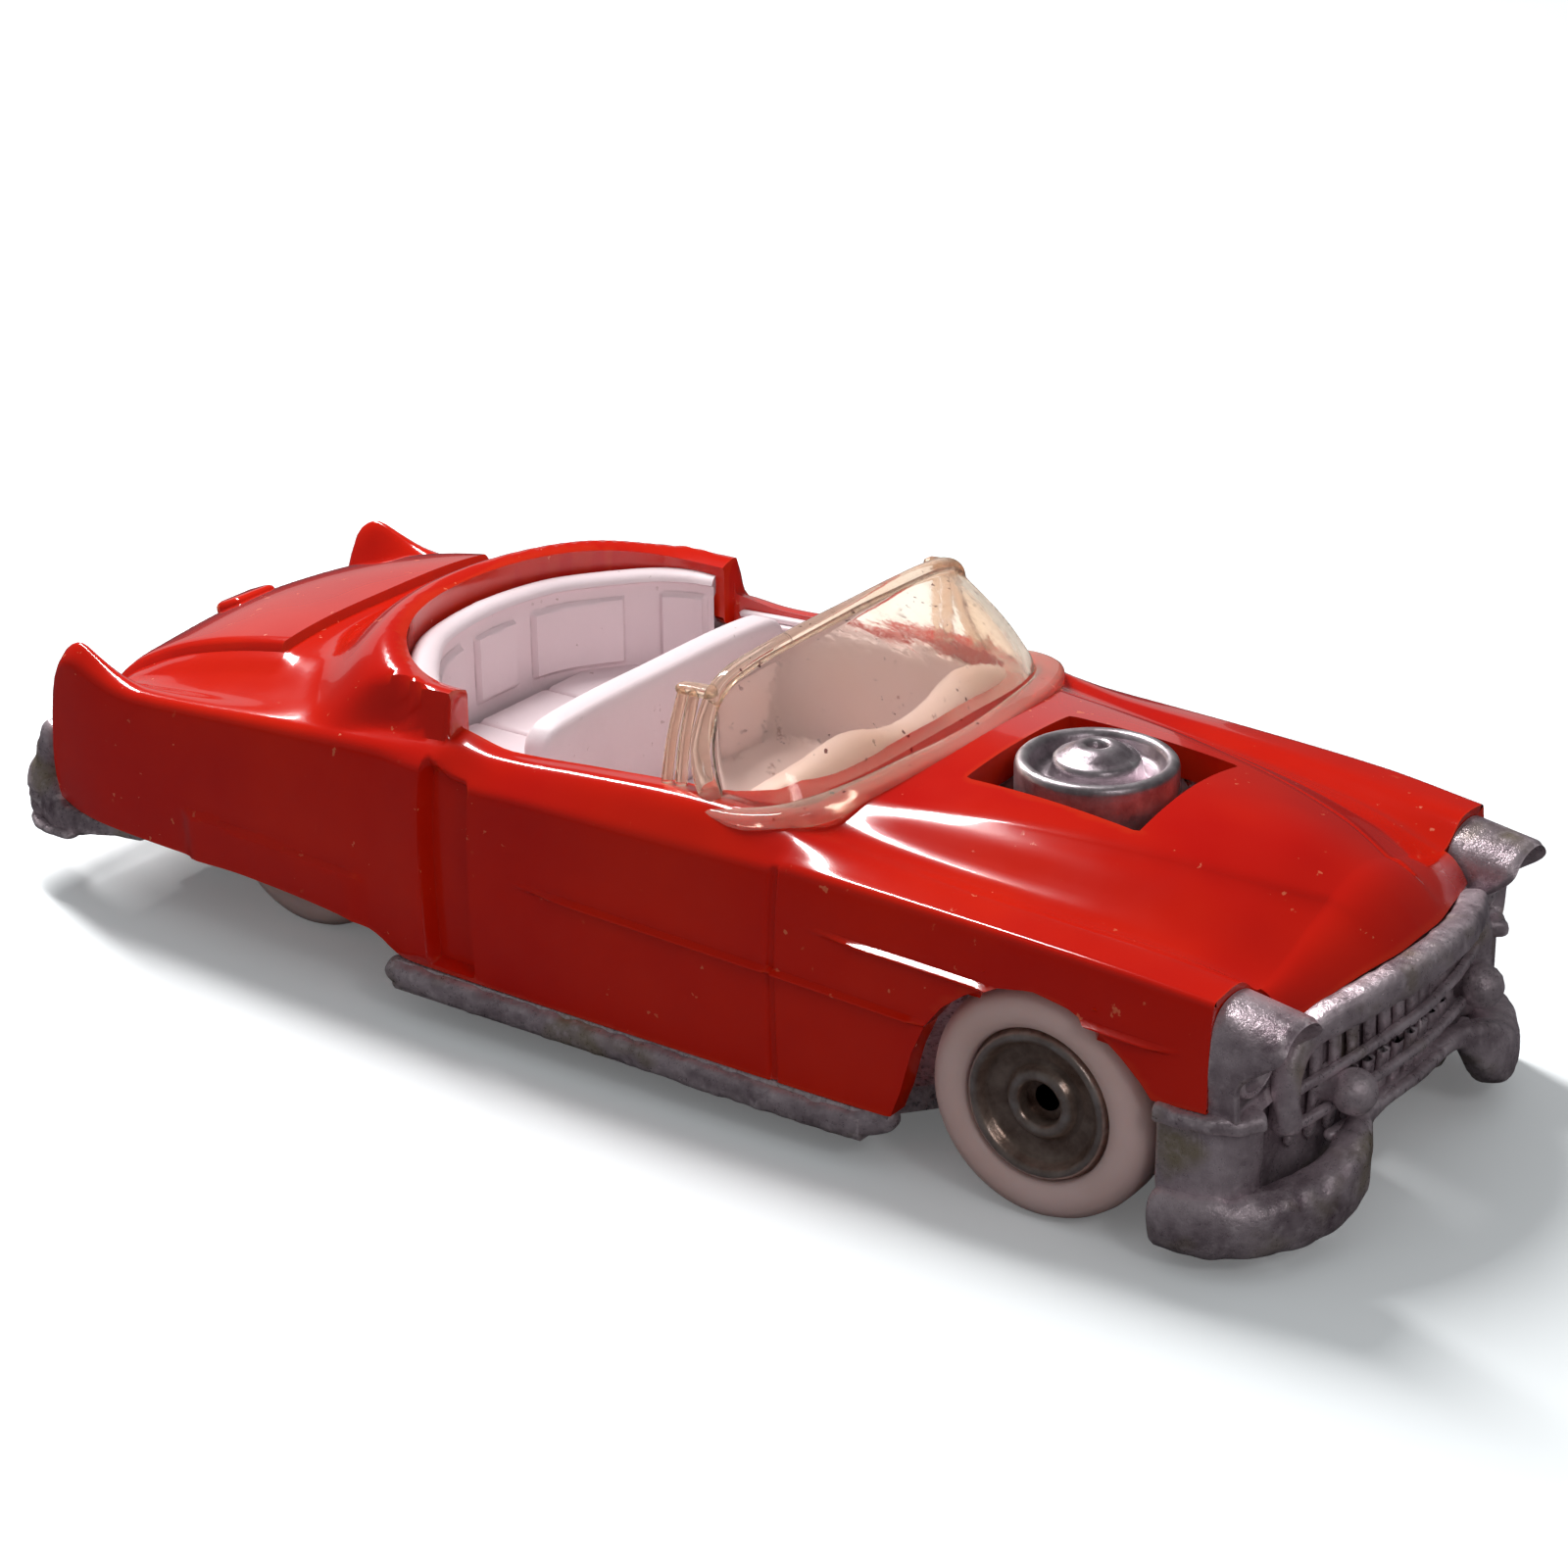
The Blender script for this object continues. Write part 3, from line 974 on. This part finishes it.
def tail_guard():
    lower = bar([(-35.3, -10.0, 2.9, 2.0, 1.9), (-35.4, -10.0, 4.1, 2.5, 2.3), (-35.35, -10.0, 5.2, 2.5, 2.2),
                 (-34.95, -10.3, 6.4, 1.8, 1.8), (-34.45, -10.7, 7.6, 1.3, 1.5), (-34.1, -10.8, 8.7, 1.0, 1.2)],
                2.3, 50, 26, ends=0.7, rough=0.12)
    lip = bar([(-36.05, -8.6, 3.3, 1.0, 0.5), (-35.9, -10.3, 3.25, 1.2, 0.5), (-34.6, -11.35, 3.2, 1.2, 0.5),
               (-32.3, -11.75, 3.3, 0.9, 0.45)], 2.4, 40, 16, ends=0.4, rough=0.1)
    return join(lower, lip)


finish_piece("rear_bumper_guards", both_sides(tail_guard), ZINC)

# ---- base casting's side rails ----
RAIL = [(-11.0, -12.35, 2.75, 0.9, 1.0), (-10.4, -12.55, 2.3, 1.5, 1.3), (-8, -12.6, 2.2, 1.6, 1.35),
        (4, -12.65, 2.15, 1.6, 1.35), (13.0, -12.6, 2.1, 1.6, 1.35), (15.0, -12.5, 2.15, 1.6, 1.4),
        (16.2, -12.2, 2.5, 1.4, 1.3), (16.6, -11.8, 3.0, 1.1, 1.0)]
finish_piece("base_side_rails", both_sides(lambda: bar(RAIL, 2.7, 260, 24, ends=0.5, rough=0.13)), ZINC, sharp=70)

# ---- wheels ----
TYRE = [(-0.45, 3.46), (-0.22, 3.6), (-0.07, 3.85), (0.0, 4.15), (-0.02, 4.45), (-0.14, 4.75), (-0.38, 5.0),
        (-0.75, 5.19), (-1.2, 5.29), (-1.8, 5.3), (-2.4, 5.28), (-2.85, 5.19), (-3.22, 5.0), (-3.46, 4.75),
        (-3.58, 4.45), (-3.6, 4.15), (-3.53, 3.85), (-3.38, 3.6), (-3.2, 3.46), (-0.45, 3.46)]
HUB = [(-1.3, 0.0), (-1.3, 0.98), (-0.72, 1.0), (-0.55, 1.08), (-0.47, 1.22), (-0.5, 1.4), (-0.66, 1.55),
       (-0.95, 1.66), (-1.02, 1.85), (-0.92, 2.05), (-0.9, 2.45), (-0.82, 2.62), (-0.66, 2.74), (-0.4, 2.84),
       (-0.24, 2.96), (-0.2, 3.1), (-0.28, 3.24), (-0.5, 3.33), (-0.75, 3.38), (-0.8, 3.45), (-3.3, 3.45),
       (-3.3, 3.0), (-1.8, 2.9), (-2.2, 1.7), (-3.3, 1.5), (-3.3, 0.62)]
for end, body, x, outer in (("front", "front_axle_set", 23.8, 12.6), ("rear", "rear_axle_set", -20.5, 8.3)):
    for side, sign in (("left", 1), ("right", -1)):
        centre, axis = (x, sign * outer, 5.3), (0, sign, 0)
        finish_piece(f"wheel_tyre_{end}_{side}", turned(TYRE, centre, axis, 96), VINYL,
                     (f"tyre_{end}_{side}",), body)
        finish_piece(f"wheel_hub_{end}_{side}", turned(HUB, centre, axis, 96), HUB_METAL,
                     (f"hub_{end}_{side}",), body, sharp=50)

# ---- flywheel ----
WHEEL = [(11.3, 0.43), (11.2, 1.3), (11.25, 2.6), (11.4, 3.2), (11.55, 3.45), (11.85, 3.6), (15.2, 3.6),
         (15.42, 3.55), (15.56, 3.42), (15.6, 3.22), (15.52, 3.05), (15.3, 2.93), (14.98, 2.84), (14.8, 2.68),
         (14.74, 2.45), (14.8, 2.2), (15.0, 2.05), (15.3, 1.97), (15.55, 1.93), (15.68, 1.8), (15.72, 1.62),
         (15.82, 1.45), (16.0, 1.22), (16.14, 0.95), (16.2, 0.7), (16.16, 0.52), (16.0, 0.43), (15.4, 0.43),
         (11.3, 0.43)]
finish_piece("flywheel_turned_disc", turned(WHEEL, (19.1, 0, 0), (0, 0, 1), 128), FLYWHEEL_STEEL, ("flywheel",),
             "flywheel_set")

# ---- finishes for the pieces whose shapes stay as they are ----
KEPT = {ZINC: ("chassis_base",), PLAIN_STEEL: ("motor_frame", "front_axle", "rear_axle", "cross_shaft",
                                               "flywheel_spindle", "rivet_front", "rivet_rear",
                                               "motor_rivet_left", "motor_rivet_right"),
        CUT_BRASS: ("spindle_bush", "spindle_pinion", "crown_gear", "cross_pinion", "axle_gear")}
for material, names in KEPT.items():
    for name in names:
        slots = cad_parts[name].data.materials
        if not slots:
            slots.append(material)
        for number in range(len(slots)):
            slots[number] = material

# ---- floor, light and camera ----
floor_mesh = bmesh.new()
bmesh.ops.create_grid(floor_mesh, x_segments=1, y_segments=1, size=3000 * MM)
mesh = bpy.data.meshes.new("floor")
floor_mesh.to_mesh(mesh)
floor_mesh.free()
floor = bpy.data.objects.new("floor", mesh)
bpy.context.scene.collection.objects.link(floor)
paper, paper_tree, paper_shader, paper_coords = new_material(
    "pale paper floor", Roughness=0.9, Specular_IOR_Level=0.0, Emission_Color=(1.0, 1.0, 1.0, 1.0))
rays = paper_tree.nodes.new("ShaderNodeLightPath").outputs
direct = maths(paper_tree, "ADD", rays["Is Camera Ray"], rays["Is Transmission Ray"])
shade = blend_colour(paper_tree, rays["Is Glossy Ray"], (0.27, 0.26, 0.26), (0.035, 0.035, 0.04))
link(paper_tree, blend_colour(paper_tree, direct, shade, (0.93, 0.955, 0.965)), paper_shader.inputs["Base Color"])
away = paper_tree.nodes.new("ShaderNodeVectorMath")
away.operation = "LENGTH"
link(paper_tree, paper_coords, away.inputs[0])
glow = scaled(paper_tree, ramp(paper_tree, away.outputs["Value"], 0.1, 0.45), 0.6, 0.1)
link(paper_tree, maths(paper_tree, "MULTIPLY", direct, glow), paper_shader.inputs["Emission Strength"])
mesh.materials.append(paper)

world = bpy.data.worlds.new("soft studio")
bpy.context.scene.world = world
world.use_nodes = True
sky, sky_tree = world.node_tree.nodes["Background"], world.node_tree
sky.inputs["Color"].default_value = (0.93, 0.975, 1.0, 1.0)
rays = sky_tree.nodes.new("ShaderNodeLightPath").outputs
direct = maths(sky_tree, "ADD", rays["Is Camera Ray"], rays["Is Transmission Ray"])
strength = scaled(sky_tree, direct, 0.98, maths(sky_tree, "MULTIPLY", rays["Is Diffuse Ray"], 0.37))
link(sky_tree, scaled(sky_tree, rays["Is Glossy Ray"], 0.05, strength), sky.inputs["Strength"])


def area_light(name, place, target, size, power, colour=(1.0, 1.0, 1.0)):
    data = bpy.data.lights.new(name, "AREA")
    data.shape = "RECTANGLE"
    data.size, data.size_y = size[0] * MM, size[1] * MM
    data.energy = power
    data.color = colour
    lamp = bpy.data.objects.new(name, data)
    bpy.context.scene.collection.objects.link(lamp)
    lamp.location = Vector(place) * MM
    aim = Vector(target) - Vector(place)
    lamp.rotation_euler = aim.to_track_quat("-Z", "Y").to_euler()
    lamp.visible_camera = False
    return lamp


area_light("long soft box over the far side", (-122, 45, 190), (8, 0, 8), (26, 150), 0.60)
area_light("low panel behind", (-190, 175, 55), (-15, 0, 12), (260, 110), 0.028, (1.0, 0.9, 0.9))
area_light("small fill by the nose", (170, -90, 140), (20, 0, 8), (40, 40), 0.035)

camera_data = bpy.data.cameras.new("camera")
camera = bpy.data.objects.new("camera", camera_data)
bpy.context.scene.collection.objects.link(camera)
bpy.context.scene.camera = camera
camera_data.sensor_width = 36.0
camera_data.lens = 85.86
camera_data.clip_start = 0.005
CAMERA_X, CAMERA_Y, CAMERA_Z = 94.8 * MM, -129.2 * MM, 77.9 * MM
YAW, PITCH, ROLL = radians(125.56), radians(-23.06), radians(-0.47)
ahead = Vector((cos(PITCH) * cos(YAW), cos(PITCH) * sin(YAW), sin(PITCH)))
right = ahead.cross(Vector((0, 0, 1))).normalized()
up = right.cross(ahead)
level_right = cos(ROLL) * right + sin(ROLL) * up
level_up = -sin(ROLL) * right + cos(ROLL) * up
camera.matrix_world = Matrix((
    (level_right.x, level_up.x, -ahead.x, CAMERA_X),
    (level_right.y, level_up.y, -ahead.y, CAMERA_Y),
    (level_right.z, level_up.z, -ahead.z, CAMERA_Z),
    (0, 0, 0, 1)))
bpy.context.scene.view_settings.view_transform = "Standard"
